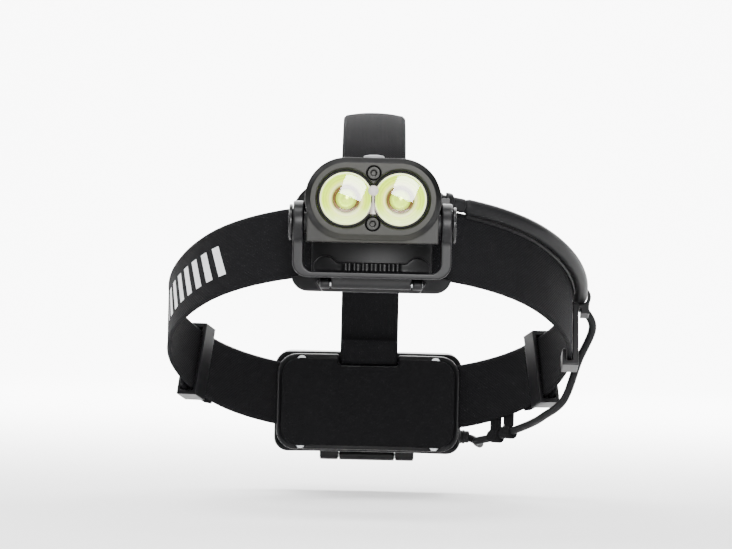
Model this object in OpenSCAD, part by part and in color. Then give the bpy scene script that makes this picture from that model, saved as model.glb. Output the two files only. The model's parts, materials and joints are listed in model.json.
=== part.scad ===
// Twin-beam headlamp on an elastic headband, with a rear battery box.
// Origin: centre of the head opening. +Z up the head, front towards -Y, +X to the viewer's right.

/* [Headband] */
// Half width of the headband's opening, side to side, in mm
band_half_w = 78.5; // [70:0.5:90]
// Half length of the headband's opening, front to back, in mm
band_half_l = 96.5; // [88:0.5:108]
// Radius of the headband's front and rear curves, in mm
band_r1 = 72; // [66:0.5:76]
// Webbing width of the headband, in mm
strap_w = 25; // [20:1:30]
// Webbing thickness, in mm
strap_t = 1.5; // [1:0.1:2]
// Webbing width of the top strap, in mm
top_w = 24; // [16:1:30]
// How far the headband rises from level towards the forehead, in degrees
tilt = 19; // [0:1:25]

/* [Lamp] */
// Overall width of the lamp housing, in mm
lamp_w = 50; // [44:1:60]
// Radius of the lamp housing's round ends, in mm
lamp_r = 15.1; // [13:0.1:18]
// Depth of the lamp ahead of its pivot, in mm
lamp_front = 15.5; // [12:0.5:22]
// Depth of the lamp behind its pivot, in mm
lamp_back = 8; // [6:0.5:10]
// Height of the lens centres above the pivot, in mm
lens_up = 8.9; // [7:0.1:11]
// Radius of each lens, in mm
lens_r = 9.7; // [8:0.1:11]
// Diameter of the pivot discs at the bracket's sides, in mm
disc_d = 13.5; // [10:0.5:16]

/* [Base plate] */
// Width of the forehead base plate, in mm
plate_w = 60; // [50:1:70]
// Height of the forehead base plate, in mm
plate_h = 40.8; // [36:0.2:50]

/* [Battery box] */
// Width of the battery box, in mm
box_w = 78; // [76:1:90]
// Height of the battery box, in mm
box_h = 42; // [41:1:50]
// Diameter of one battery cell, in mm
cell_d = 18.4; // [18:0.1:18.8]
// Length of one battery cell, in mm
cell_l = 65.2; // [64:0.1:66]

/* [Hidden] */
$fn = 64;
cy = band_half_l - band_r1;
side_r = (pow(band_r1, 2) - pow(band_half_w, 2) - pow(cy, 2)) / (2 * (band_r1 - band_half_w));
cx = round((side_r - band_half_w) * 10) / 10;
band_r2 = band_r1 + round(norm([cx, cy]) * 1000) / 1000;
junction = atan(cx / cy);
far = 300;
plate_r = band_r1 + 4.5;
py = -112.5;
pz = 39;
lz = pz + lens_up;
lx = lamp_w / 2 - lamp_r;
status_up = 3.1;
front_y = py - lamp_front;
back_y = py + lamp_back;
hinge_y = -105.5;
hinge_z = 16.7;
plate_z = 34;
cable_z = 13.8;
cable_d = 4.55;
lead_start = 26;
lead_dir = 26;
gland_x = 9.5;
guide_x = 27.3;
boot_x = 16.6;
top_gap = 0.15;
by = 101;
bz = -33.4;
box_y1 = 125.6;
lid_y = 121;
cell_y = 110.7;
lid_hinge_y = 118.4;
lid_hinge_z = bz - box_h / 2 - 2.2;
clip_y = 1.5;
black = [0.045, 0.045, 0.05];
dark = [0.11, 0.11, 0.12];
olive = [0.10, 0.105, 0.095];
grey = [0.55, 0.56, 0.57];
steel = [0.62, 0.63, 0.65];
green = [0.05, 0.32, 0.16];

function zat(zc, y) = (zc - y * sin(tilt)) / cos(tilt);
function on_band(x, y, zc) = [x, y, zat(zc, y)];
function front_pt(a, d, zc) = on_band((band_r1 + d) * sin(a), -cy - (band_r1 + d) * cos(a), zc);
function side_pt(a, d, zc) = on_band(-cx + (band_r2 + d) * cos(a), (band_r2 + d) * sin(a), zc);
function rear_pt(a, d, zc) = on_band((band_r1 + d) * sin(a), cy + (band_r1 + d) * cos(a), zc);
function lead_pt(x) = let (s = front_pt(lead_start, cable_d, cable_z))
  on_band(x, s[1] - (s[0] - x) * tan(lead_dir), cable_z);
function spline(p, i, t) = 0.5 * (2 * p[i] + (p[i + 1] - p[i - 1]) * t
  + (2 * p[i - 1] - 5 * p[i] + 4 * p[i + 1] - p[i + 2]) * t * t
  + (3 * p[i] - p[i - 1] - 3 * p[i + 1] + p[i + 2]) * t * t * t);

// ---- shared shapes ----
module wedge(a0, a1) {
  polygon([[0, 0], [far * sin(a0), -far * cos(a0)], [far * sin((a0 + a1) / 2) * 1.4,
    -far * cos((a0 + a1) / 2) * 1.4], [far * sin(a1), -far * cos(a1)]]);
}

module front_arc(r0, r1, a0, a1) {
  translate([0, -cy])
    intersection() {
      difference() {
        circle(r = r1);
        circle(r = r0);
      }
      wedge(a0, a1);
    }
}

module side_arc(r0, r1, a0, a1) {
  translate([-cx, 0])
    rotate(90)
      intersection() {
        difference() {
          circle(r = r1);
          circle(r = r0);
        }
        wedge(a0, a1);
      }
}

module oval_ring(d0, d1) {
  for (s = [0, 1])
    mirror([0, s]) translate([0, -cy]) intersection() {
      difference() {
        circle(r = band_r1 + d1);
        circle(r = band_r1 + d0);
      }
      polygon([[0, 0], [5 * cx, -5 * cy], [0, -400], [-5 * cx, -5 * cy]]);
    }
  for (s = [0, 1])
    mirror([s, 0]) translate([-cx, 0]) intersection() {
      difference() {
        circle(r = band_r2 + d1);
        circle(r = band_r2 + d0);
      }
      polygon([[0, 0], [5 * cx, -5 * cy], [400, 0], [5 * cx, 5 * cy]]);
    }
}

module band_slab(z0, z1) {
  rotate([-tilt, 0, 0]) translate([-150, -160, z0]) cube([300, 320, z1 - z0]);
}

module curved(z0, z1) {
  intersection() {
    translate([0, 0, -90]) linear_extrude(180) children();
    band_slab(z0, z1);
  }
}

module side_frame(a) {
  slope = atan(tan(tilt) * cos(a));
  translate([-cx, 0, 0]) rotate([0, 0, a]) translate([band_r2, 0, -band_r2 * sin(a) * tan(tilt)])
    rotate([-slope, 0, 0]) children();
}

module along_x(x0, x1, y, z, r) {
  translate([x0, y, z]) rotate([0, 90, 0]) cylinder(h = x1 - x0, r = r);
}

module along_y(x, y0, y1, z, r) {
  translate([x, y1, z]) rotate([90, 0, 0]) cylinder(h = y1 - y0, r = r);
}

module stadium(r) {
  for (s = [-1, 1])
    translate([s * lx, 0]) circle(r = r);
  translate([-lx, -r]) square([2 * lx, 2 * r]);
}

module lamp_slice(r, y0, y1) {
  translate([0, y1, lz]) rotate([90, 0, 0]) linear_extrude(y1 - y0) stadium(r);
}

module lamp_outline(y0, y1, g = 0) {
  translate([0, y1, 0]) rotate([90, 0, 0]) linear_extrude(y1 - y0) {
    translate([0, lz]) stadium(lamp_r - g);
    translate([-24.2 + g, pz - 7.1 + g]) square([48.4 - 2 * g, lens_up + 7.1 - g]);
  }
}

module tube(p, r) {
  for (i = [0 : len(p) - 2])
    hull() {
      translate(p[i]) sphere(r = r, $fn = 14);
      translate(p[i + 1]) sphere(r = r, $fn = 14);
    }
}

module lead_line(x0, x1, r) {
  a = lead_pt(x0);
  rotate([-tilt, 0, 0]) {
    v0 = a[1] * cos(tilt) - a[2] * sin(tilt);
    b = lead_pt(x1);
    v1 = b[1] * cos(tilt) - b[2] * sin(tilt);
    len = sqrt(pow(x1 - x0, 2) + pow(v1 - v0, 2));
    translate([x0, v0, cable_z]) rotate([0, 0, atan2(v1 - v0, x1 - x0)]) rotate([0, 90, 0])
      cylinder(h = len, r = r);
  }
}

module yz_sector(oy, oz, r0, r1, a0, a1, hw) {
  translate([-hw, oy, oz]) rotate([90, 0, 90]) linear_extrude(2 * hw)
    intersection() {
      difference() {
        circle(r = r1, $fn = 128);
        circle(r = r0, $fn = 128);
      }
      polygon([[0, 0], [far * sin(a0), far * cos(a0)], [far * sin((a0 + a1) / 2) * 1.4,
        far * cos((a0 + a1) / 2) * 1.4], [far * sin(a1), far * cos(a1)]]);
    }
}

module rounded_outline(hw, z0, z1, rb, rt) {
  translate([-hw, z0 + rb]) square([2 * hw, z1 - z0 - rb - rt]);
  translate([-hw + rb, z0]) square([2 * (hw - rb), rb + 1]);
  translate([-hw + rt, z1 - rt - 1]) square([2 * (hw - rt), rt + 1]);
  for (s = [-1, 1]) {
    translate([s * (hw - rb), z0 + rb]) circle(r = rb);
    translate([s * (hw - rt), z1 - rt]) circle(r = rt);
  }
}

// a curved shell at the front, bounded by a rounded outline
module shell(r0, r1, hw, z0, z1, rb, rt) {
  intersection() {
    translate([0, -cy, z0 - 2]) linear_extrude(z1 - z0 + 4) difference() {
      circle(r = r1, $fn = 128);
      circle(r = r0, $fn = 128);
    }
    translate([0, -60, 0]) rotate([90, 0, 0]) linear_extrude(60)
      rounded_outline(hw, z0, z1, rb, rt);
  }
}

// a curved carrier that the headband threads through: behind its middle, in front of its side bars
module carrier(hw, mid, z0, z1, rb, rt) {
  difference() {
    shell(band_r1 - 1.4, plate_r, hw, z0, z1, rb, rt);
    curved(-12.9, 12.9) front_arc(band_r1 - 0.2, band_r1 + 1.8, -70, 70);
    curved(-12.9, 12.9) intersection() {
      front_arc(band_r1 - 4, band_r1 + 2, -70, 70);
      translate([-mid, -200]) square([2 * mid, 200]);
    }
    for (s = [0, 1])
      mirror([s, 0, 0]) curved(-12.9, 12.9) intersection() {
        front_arc(band_r1 + 1, plate_r + 3, -70, 70);
        translate([mid, -200]) square([60, 200]);
      }
  }
}

// ---- lamp ----
module button_hole(r) {
  translate([0, -115, 58]) cylinder(h = 8, r = r);
}

module bezel_screw_at() {
  for (z = [lz + 9.5, lz - 9.1])
    translate([0, 0, z]) children();
}

module lamp_housing() color(dark) {
  difference() {
    lamp_outline(-123, back_y);
    difference() {
      lamp_outline(-124, -107, 2);
      for (s = [-1, 1])
        along_y(s * 18.5, -113, -107, lz, 2.4);
      for (s = [-1, 1])
        along_x(min(s * 15.5, s * 25), max(s * 15.5, s * 25), py, pz, 4);
      translate([-4, -119, 53.9]) cube([8, 12, 1.5]);
      bezel_screw_at() along_y(0, -123, -120, 0, 2.2);
      translate([-1.5, -123, lz + 9.5]) cube([3, 1.6, 5]);
      translate([-1.5, -123, pz - 7]) cube([3, 4, 7]);
      for (s = [-1, 1])
        translate([s * 9 - 1.5, -108.8, 44.5]) cube([3, 2, 3]);
    }
    for (s = [-1, 1])
      along_y(s * 18.5, -114, -108, lz, 0.8);
    for (s = [-1, 1])
      along_x(min(s * 17, s * 26), max(s * 17, s * 26), py, pz, 2);
    bezel_screw_at() along_y(0, -124, -118, 0, 1.1);
    button_hole(3.88);
    lead_line(gland_x, boot_x, 3.2);
    for (i = [-4 : 4])
      translate([i * 2.6 - 0.7, back_y - 1.2, lz - 13]) cube([1.4, 3, 11]);
    translate([-30, 0, 0]) rotate([90, 0, 90]) linear_extrude(60)
      polygon([[back_y + 0.1, lz + 5], [back_y - 2, lz + 15.2], [back_y + 0.1, lz + 15.2]]);
    translate([-30, back_y - 5, pz - 12]) difference() {
      cube([60, 8, 9]);
      translate([-1, py - back_y + 5, 12]) rotate([0, 90, 0]) cylinder(h = 62, r = 8);
    }
  }
}

module front_bezel() color(olive) {
  difference() {
    union() {
      lamp_outline(-126.1, -123);
      hull() {
        lamp_slice(lamp_r, -126.1, -125.9);
        lamp_slice(lamp_r - 1.9, front_y, front_y + 0.1);
      }
    }
    for (s = [-1, 1])
      along_y(s * lx, front_y - 1, -122, lz, 10.7);
    for (s = [-1, 1])
      translate([s * lx, front_y + 0.6, lz]) rotate([90, 0, 0]) cylinder(h = 0.7, r1 = 10.7, r2 = 11.25);
    translate([-4, front_y - 1, lz - 5.6]) cube([8, 7, 8.6]);
    bezel_screw_at() along_y(0, front_y - 1, -122, 0, 1.3);
    bezel_screw_at() along_y(0, front_y - 1, front_y + 2.1, 0, 2.7);
    along_y(0, front_y - 1, -122, lz + status_up, 2.05);
  }
}

module bezel_screws() color(dark) {
  bezel_screw_at() difference() {
    union() {
      along_y(0, front_y + 2.1, -120.4, 0, 1.1);
      along_y(0, front_y + 0.1, front_y + 2.1, 0, 2.35);
    }
    translate([0, front_y + 1.5, 0]) rotate([90, 0, 0]) cylinder(h = 2, r = 1.15, $fn = 6);
  }
}

module twin_lens() color([0.88, 0.92, 0.55, 0.6]) {
  for (s = [-1, 1])
    difference() {
      union() {
        translate([s * lx, -116.6, lz]) rotate([90, 0, 0]) cylinder(h = 7.9, r1 = 4.2, r2 = lens_r - 0.3);
        along_y(s * lx, -126.6, -124.5, lz, lens_r);
      }
      translate([s * lx, -114.4, lz]) rotate([90, 0, 0]) cylinder(h = 4, r = 2.1);
      translate([s * lx, -124.4, lz]) rotate([90, 0, 0]) cylinder(h = 3, r1 = 2.2, r2 = 4.2);
      along_y(0, -128, -120, lz + status_up, 2.05);
    }
  translate([-1.4, -126.2, lz - 5.2]) cube([2.8, 1.2, 6.2]);
}

module lens_gasket() color(black) {
  for (s = [-1, 1])
    difference() {
      along_y(s * lx, -126.9, -123.2, lz, 10.6);
      along_y(s * lx, -128, -122, lz, lens_r + 0.05);
      translate([-3.5, -128, lz - 5.8]) cube([7, 8, 11.6]);
    }
}

module led_board() color([0.85, 0.86, 0.84]) {
  difference() {
    translate([-21, -114.6, lz - 4.4]) cube([42, 1.6, 8.8]);
    for (s = [-1, 1])
      along_y(s * 18.5, -116, -112, lz, 0.9);
  }
}

module led_emitters() color([0.92, 0.8, 0.15]) {
  for (s = [-1, 1]) {
    translate([s * lx - 1.7, -115.1, lz - 1.7]) cube([3.4, 0.5, 3.4]);
    translate([s * lx, -115.1, lz]) rotate([90, 0, 0]) cylinder(h = 0.4, r = 1.4);
  }
}

module indicator_led() color([0.9, 0.9, 0.86]) {
  along_y(0, -127.3, -123.1, lz + status_up, 2);
  translate([0, -127.3, lz + status_up]) sphere(r = 2);
}

module board_screws() color(steel) {
  for (s = [-1, 1]) {
    along_y(s * 18.5, -114.6, -108.5, lz, 0.8);
    along_y(s * 18.5, -115.8, -114.6, lz, 1.7);
  }
}

module driver_board() color(green) {
  translate([-13.5, -110, 43.5]) cube([27, 1.2, 9.8]);
}

module driver_parts() color([0.1, 0.1, 0.11]) {
  translate([-5, -112, 45]) cube([6, 2, 6]);
  translate([3.5, -111.6, 45.5]) cube([3.5, 1.6, 3.5]);
  translate([-11, -111.8, 46]) cube([4, 1.8, 4]);
  translate([9, -111.4, 46]) cube([2.5, 1.4, 2.5]);
}

module power_button() color(grey) {
  translate([0, -115, 60]) cylinder(h = 0.9, r = 4.8);
  translate([0, -115, 60.9]) cylinder(h = 2.6, r = 3.8);
  translate([0, -115, 63.5]) intersection() {
    cylinder(h = 2, r = 3.8);
    translate([0, 0, -11.4]) sphere(r = 12.02);
  }
}

module button_seal() color(black) {
  translate([0, -115, 60.1]) difference() {
    cylinder(h = 0.8, r = 6.2);
    translate([0, 0, -1]) cylinder(h = 3, r = 5);
  }
}

module tact_switch() color([0.2, 0.2, 0.22]) {
  translate([-3, -118, 55.4]) cube([6, 6, 3]);
  translate([0, -115, 58.4]) cylinder(h = 0.7, r = 1.5);
}

module cable_gland() color(black) {
  lead_line(gland_x, boot_x, 3.2);
}

module pivot_screws() color(dark) {
  for (s = [0, 1])
    mirror([s, 0, 0]) {
      along_x(17.5, 29.5, py, pz, 2);
      along_x(29.5, 30.8, py, pz, disc_d / 2);
    }
}

module friction_washers() color(black) {
  for (s = [0, 1])
    mirror([s, 0, 0]) difference() {
      along_x(24.25, 25.2, py, pz, 3.9);
      along_x(24, 26, py, pz, 2.05);
    }
}

// ---- bracket ----
module yoke_section() {
  difference() {
    union() {
      translate([-29.3, 24.4]) square([58.6, pz - 24.4]);
      translate([-23.8, 18.9]) square([47.6, 12]);
      for (s = [-1, 1])
        translate([s * 23.8, 24.4]) circle(r = 5.5);
    }
    translate([-25.3, 24.6]) square([50.6, 30]);
    translate([-21.8, 21.1]) square([43.6, 12]);
    for (s = [-1, 1])
      translate([s * 21.8, 24.6]) circle(r = 3.5);
  }
}

module guide_frame() {
  p = lead_pt(guide_x);
  rotate([-tilt, 0, 0]) {
    v = p[1] * cos(tilt) - p[2] * sin(tilt);
    translate([guide_x, v, cable_z]) rotate([0, 0, atan(tan(lead_dir) / cos(tilt))]) children();
  }
}

module bracket_yoke() color(dark) {
  difference() {
    union() {
      translate([0, py + 4.5, 0]) rotate([90, 0, 0]) linear_extrude(9) yoke_section();
      for (s = [0, 1])
        mirror([s, 0, 0]) along_x(25.3, 29.3, py, pz, 8);
      translate([0, 0, 18.9]) linear_extrude(2.2) difference() {
        translate([-21.5, -109]) square([43, 12]);
        translate([0, -cy]) circle(r = 76.9, $fn = 128);
      }
      intersection() {
        translate([0, -cy, 18.9]) linear_extrude(9) difference() {
          circle(r = 79.3, $fn = 128);
          circle(r = 76.9, $fn = 128);
        }
        translate([-21.5, -110, 18.9]) cube([43, 20, 5.8]);
      }
      intersection() {
        translate([0, -cy, 18.9]) linear_extrude(9) difference() {
          circle(r = 79.3, $fn = 128);
          circle(r = 76.9, $fn = 128);
        }
        for (s = [-1, 1])
          along_y(s * 17.2, -110, -90, 22.6, 4.4);
      }
      for (i = [-3 : 3])
        translate([i * 3.2 - 0.6, -104.5, 21]) cube([1.2, 2, 3.7]);
      along_x(-14.9, 14.9, hinge_y, hinge_z, 1.9);
      translate([-14.9, hinge_y - 1.9, hinge_z]) cube([29.8, 3.8, 3]);
      translate([25.3, -107.2, 41.9]) rotate([34, 0, 0]) cube([3.2, 9.6, 2.6]);
      guide_frame() translate([-1.5, 0, 0]) rotate([0, 90, 0]) cylinder(h = 3, r = 3.95);
    }
    for (s = [0, 1])
      mirror([s, 0, 0]) along_x(24, 31, py, pz, 2.05);
    along_x(-16, 16, hinge_y, hinge_z, 1.05);
    guide_frame() translate([-5, 0, 0]) rotate([0, 90, 0]) cylinder(h = 10, r = 2.75);
    guide_frame() translate([-3, -2, 1.6]) cube([6, 4, 5]);
  }
}

module hinge_pin() color(steel) {
  along_x(-19, 19, hinge_y, hinge_z, 1);
}

// ---- base plate ----
module base_plate() color(dark) {
  difference() {
    union() {
      carrier(plate_w / 2, 22.5, plate_z - 20.4, plate_z - 20.4 + plate_h, 6.3, 12.5);
      translate([0, -96.5, 0]) rotate([90, 0, 0]) linear_extrude(6.8)
        polygon([[-18, 13.6], [18, 13.6], [20.5, 17.5], [-20.5, 17.5]]);
      for (s = [0, 1])
        mirror([s, 0, 0]) {
          along_x(15.2, 19, hinge_y, hinge_z, 1.9);
          translate([15.2, hinge_y, 14.8]) cube([3.8, 9, 3.8]);
        }
    }
    translate([-12.6, -103, 49.7]) cube([25.2, 12, 8]);
    intersection() {
      curved(9.5, 18.1) front_arc(band_r1 + 0.6, band_r1 + 9, 2, 50);
      translate([9.2, -130, 0]) cube([40, 60, 80]);
    }
    along_x(-20, 20, hinge_y, hinge_z, 1);
    for (s = [-1, 1])
      along_y(s * 27.2, -110, -90, 22.3, 0.9);
  }
  along_x(-12.8, 12.8, -97.7, 53, 1);
}

module forehead_pad() color(black) {
  difference() {
    shell(band_r1 - 3.6, band_r1 - 1.45, plate_w / 2 - 1, 15, 53.2, 6, 11.5);
    translate([-13, -110, 50.4]) cube([26, 30, 10]);
  }
}

// ---- straps ----
module tail_loop() {
  for (s = [0, 1])
    mirror([s, 0, 0]) {
      curved(-12.4, 12.4) side_arc(band_r2 + 3.1, band_r2 + 4.6, 17.6, 29.6);
      curved(-12.4, 12.4) side_arc(band_r2 + 1, band_r2 + 4.6, 17.2, 17.9);
      curved(-12.4, 12.4) side_arc(band_r2 + 1, band_r2 + 4.6, 29.0, 29.68);
    }
}

module headband() color(black) {
  curved(-strap_w / 2, strap_w / 2) oval_ring(0, strap_t);
  tail_loop();
}

module top_strap() color(black) {
  hw = top_w / 2;
  yz_sector(-51.7, 14.4, 58.7, 60, -42, -21.6, hw);
  yz_sector(0, -115.7, 198.7, 200, -21.75, 14.8, hw);
  yz_sector(35, 17.8, 60.7, 62, 14.6, 90, hw);
  translate([-hw, 95.7, -8]) cube([top_w, 1.3, 25.9]);
  // front end, folded round the base plate's bar
  yz_sector(-51.7, 14.4, 57.6, 62.4, -42.6, -40.6, hw);
  difference() {
    yz_sector(-51.7, 14.4, 57.6, 62.4, -50, -42.2, hw);
    yz_sector(-51.7, 14.4, 58.9, 61.1, -51, -42.4, hw + 1);
  }
  intersection() {
    difference() {
      along_x(-hw, hw, -97.66, 52.97, 2.4);
      along_x(-hw - 1, hw + 1, -97.66, 52.97, 1.1);
    }
    translate([0, -97.66, 52.97]) rotate([-40, 0, 0]) translate([-20, -10, -20]) cube([40, 20, 20]);
  }
  // rear end, folded round the cradle's bar
  translate([-hw, 94, -9]) cube([top_w, 4.8, 1.5]);
  difference() {
    union() {
      translate([-hw, 94, -15.2]) cube([top_w, 4.8, 7]);
      along_x(-hw, hw, 96.4, -15.2, 2.4);
    }
    translate([-hw - 1, 95.3, -15.2]) cube([top_w + 2, 2.2, 6.3]);
    along_x(-hw - 1, hw + 1, 96.4, -15.2, 1.1);
  }
  // tail loop for the adjuster
  yz_sector(35, 17.8, 63.6, 64.9, 50, 70, hw - 0.1);
  yz_sector(35, 17.8, 61.5, 64.9, 50, 51.2, hw - 0.1);
  yz_sector(35, 17.8, 61.5, 64.9, 68.8, 70, hw - 0.1);
}

module lamp_lead() color(black) {
  lead_line(boot_x, guide_x, 2.7);
}

module band_lead() color(black) {
  lead_line(guide_x, front_pt(lead_start, cable_d, cable_z)[0] - 2.7, 2.7);
}

module cable_sleeve() color(dark) {
  curved(10.4, 13.8) front_arc(band_r1 + 1.65, band_r1 + 2.6, lead_start + 2, 60.2);
  curved(10.4, 13.8) side_arc(band_r2 + 1.65, band_r2 + 2.6, -29.6, -4.2);
  tube(concat([for (a = [lead_start : 2.87 : 60.5]) front_pt(a, cable_d, cable_z)],
    [for (a = [-27 : 3.04 : 3.5]) side_pt(a, cable_d, cable_z)]), 2.9);
}

module battery_lead() color(black) {
  e = side_pt(3.4, cable_d, cable_z);
  p = concat([e, [e[0] + 1.9, e[1] + 3.4, e[2] - 2.8], [89.2, 17, 1], [84.4, 26, -12.5], [79.2, 33.5, -28.5]],
    [for (a = [22.5, 27.5]) side_pt(a, 2.6, -18.5)],
    [for (a = [55, 49, 43, 38]) rear_pt(a, 2, -18.5)],
    [[47.2, 91.6, -49.6], [43.6, 98.3, -47.6], [37, 98.5, -47]]);
  tube([for (i = [1 : len(p) - 3]) for (k = [0 : 2]) spline(p, i, k / 3)], 1.6);
}

module lead_loops() color(black) {
  for (a = [52, 46])
    difference() {
      union() {
        translate([0, cy, rear_pt(a, 2, -18.5)[2]]) rotate([0, 0, 90 - a]) translate([band_r1 + 2, 0, 0])
          rotate([0, 0, 90]) rotate([0, 90, 0]) translate([0, 0, -3]) cylinder(h = 6, r = 2.6);
        translate([0, cy, rear_pt(a, 2, -18.5)[2]]) rotate([0, 0, 90 - a])
          translate([band_r1 + 1.65, -3, 0]) cube([0.9, 6, 15]);
      }
      translate([0, cy, rear_pt(a, 2, -18.5)[2]]) rotate([0, 0, 90 - a]) translate([band_r1 + 2, 0, 0])
        rotate([0, 0, 90]) rotate([0, 90 + 16, 0]) translate([0, 0, -8]) cylinder(h = 16, r = 1.85);
    }
}

module side_clip() color(dark) {
  side_frame(clip_y / 2.12) difference() {
    union() {
      translate([1.75, -5, -15.3]) cube([2.3, 10, 25.6]);
      translate([-2.4, -5, -15.3]) cube([6.4, 10, 2]);
      translate([-2.4, -5, -15.3]) cube([1.5, 10, 6.6]);
      translate([-2.4, -3, 13.2]) cube([4.5, 6, 2.1]);
      translate([-2.4, -3, 8.6]) cube([1.5, 6, 6.7]);
      translate([4.55, 3, cable_z]) rotate([90, 0, 0]) cylinder(h = 6, r = 4.6);
      translate([5, -3, 6.6]) cube([3.4, 6, 5]);
    }
    translate([4.55, 9, cable_z]) rotate([90, 0, 0]) cylinder(h = 18, r = 3.2);
    translate([-0.85, -6, -13.2]) cube([2.6, 12, 26.3]);
  }
}

module band_slider() {
  side_frame(23.45) {
    difference() {
      translate([-2.1, -4.5, -15.3]) cube([8.8, 9, 30.4]);
      translate([-0.6, -5, -13.5]) cube([5.9, 10, 26.7]);
    }
    translate([1.75, -2.3, -13.5]) cube([0.95, 4.6, 27]);
  }
}

module band_slider_right() color(dark) {
  band_slider();
}

module band_slider_left() color(dark) {
  mirror([1, 0, 0]) band_slider();
}

module top_slider() color(dark) {
  difference() {
    yz_sector(35, 17.8, 58.9, 66.7, 56, 64, 14.8);
    yz_sector(35, 17.8, 60.3, 65.2, 55, 65, 12.4);
  }
  yz_sector(35, 17.8, 62.3, 63.3, 58.2, 61.8, 13);
}

// ---- rear cradle and battery box ----
module screw_spots() {
  for (x = [-28, 28])
    for (z = [bz - 17.6, bz + 17.4])
      translate([x, 0, z]) children();
}

module rear_cradle() color(dark) {
  difference() {
    rotate([180, 0, 0]) carrier(38, 30, -bz - 20, -bz + 20, 8, 8);
    translate([-12.6, 92, -17.9]) cube([25.2, 12, 8]);
    screw_spots() along_y(0, 80, 104, 0, 1.3);
    screw_spots() along_y(0, 80, 92.2, 0, 2.1);
  }
  along_x(-12.8, 12.8, 96.4, -15.2, 1);
}

module rear_pad() color(black) {
  difference() {
    rotate([180, 0, 0]) shell(band_r1 - 3.6, band_r1 - 1.45, 36, -bz - 18.4, -bz + 18.4, 7, 7);
    translate([-13, 80, -18.3]) cube([26, 30, 10]);
  }
}

module cradle_screws() color(steel) {
  screw_spots() {
    along_y(0, 91.8, 100.5, 0, 1.2);
    along_y(0, 90.4, 91.9, 0, 1.9);
  }
}

module box_profile(g = 0) {
  rounded_outline(box_w / 2 - g, bz - box_h / 2 + g, bz + box_h / 2 - g, 6, 6);
}

module box_slice(y0, y1, g = 0) {
  translate([0, y1, 0]) rotate([90, 0, 0]) linear_extrude(y1 - y0) box_profile(g);
}

module battery_tray() color(dark) {
  difference() {
    union() {
      difference() {
        box_slice(85, lid_y);
        translate([0, cy, -90]) cylinder(h = 180, r = 76.7, $fn = 128);
        difference() {
          box_slice(86, lid_y + 1, 1.9);
          translate([0, cy, -90]) cylinder(h = 180, r = 78.2, $fn = 128);
          screw_spots() along_y(0, 90, 102, 0, 3);
        }
      }
      for (s = [0, 1])
        mirror([s, 0, 0]) {
          along_x(12, 20, lid_hinge_y, lid_hinge_z, 2.1);
          translate([12, lid_hinge_y - 2.1, lid_hinge_z]) cube([8, 4.2, 2.6]);
        }
    }
    difference() {
      box_slice(lid_y - 0.8, lid_y + 1, 0.7);
      box_slice(lid_y - 1.8, lid_y + 2, 1.8);
    }
    screw_spots() along_y(0, 90, 100.5, 0, 1.2);
    along_x(11, 21, lid_hinge_y, lid_hinge_z, 1.2);
    along_x(-21, -11, lid_hinge_y, lid_hinge_z, 1.2);
    along_x(34, 40, 98.5, -47, 3);
  }
}

module tray_seal() color([0.45, 0.1, 0.08]) {
  difference() {
    box_slice(lid_y - 0.8, lid_y - 0.05, 0.7);
    box_slice(lid_y - 1, lid_y + 1, 1.8);
  }
}

module battery_lid() color(dark) {
  difference() {
    union() {
      box_slice(lid_y, box_y1 - 1.4);
      box_slice(box_y1 - 1.5, box_y1, 1.4);
      along_x(-11.8, 11.8, lid_hinge_y, lid_hinge_z, 2.1);
      translate([-11.8, lid_hinge_y, lid_hinge_z - 2.1]) cube([23.6, 6, 4.1]);
      translate([-11.8, lid_y + 0.2, lid_hinge_z - 2.1]) cube([23.6, 3.2, 6.8]);
    }
    box_slice(lid_y - 1, box_y1 - 2, 2.6);
    along_x(-13, 13, lid_hinge_y, lid_hinge_z, 1.25);
  }
}

module lid_pin() color(steel) {
  along_x(-20, 20, lid_hinge_y, lid_hinge_z, 1.2);
}

module battery_cells() color([0.15, 0.3, 0.6]) {
  for (s = [-1, 1]) {
    along_x(-cell_l / 2, cell_l / 2 - 1.5, 112.4, bz + s * 9.5, cell_d / 2);
    along_x(cell_l / 2 - 1.5, cell_l / 2, 112.4, bz + s * 9.5, 4);
  }
}

module contact_springs() color(steel) {
  for (s = [-1, 1])
    for (i = [0 : 2])
      translate([-cell_l / 2 - 0.02 - i * 1.3, 112.4, bz + s * 9.5]) rotate([0, -90, 0])
        difference() {
          cylinder(h = 1.34, r = 3.6 + i * 0.8);
          translate([0, 0, -1]) cylinder(h = 3, r = 2.3 + i * 0.8);
        }
}

module contact_plates() color(steel) {
  translate([-37.08, 105, bz - 12.5]) cube([0.5, 15, 25]);
  for (s = [-1, 1])
    translate([cell_l / 2 + 0.05, 106, bz + s * 9.5 - 3.3]) {
      cube([0.5, 13, 6.6]);
      translate([0, 12.5, 0]) cube([4.3, 0.5, 6.6]);
      translate([3.9, 0, 0]) cube([0.5, 13, 6.6]);
    }
}

module protection_board() color(green) {
  translate([17.5, 101.6, -43.5]) cube([17.5, 1.2, 22]);
}

module tray_gland() color(black) {
  difference() {
    along_x(35, 43, 98.5, -47, 3);
    along_x(34, 44, 98.5, -47, 0.8);
  }
}

lamp_housing();
front_bezel();
bezel_screws();
twin_lens();
lens_gasket();
led_board();
led_emitters();
indicator_led();
board_screws();
driver_board();
driver_parts();
power_button();
button_seal();
tact_switch();
cable_gland();
pivot_screws();
friction_washers();
bracket_yoke();
hinge_pin();
base_plate();
forehead_pad();
headband();
top_strap();
lamp_lead();
band_lead();
cable_sleeve();
battery_lead();
lead_loops();
side_clip();
band_slider_left();
band_slider_right();
top_slider();
rear_cradle();
rear_pad();
cradle_screws();
battery_tray();
tray_seal();
battery_lid();
lid_pin();
battery_cells();
contact_springs();
contact_plates();
protection_board();
tray_gland();
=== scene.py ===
import json
import math
import bmesh
import bpy
from mathutils import Euler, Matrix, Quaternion, Vector


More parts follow.
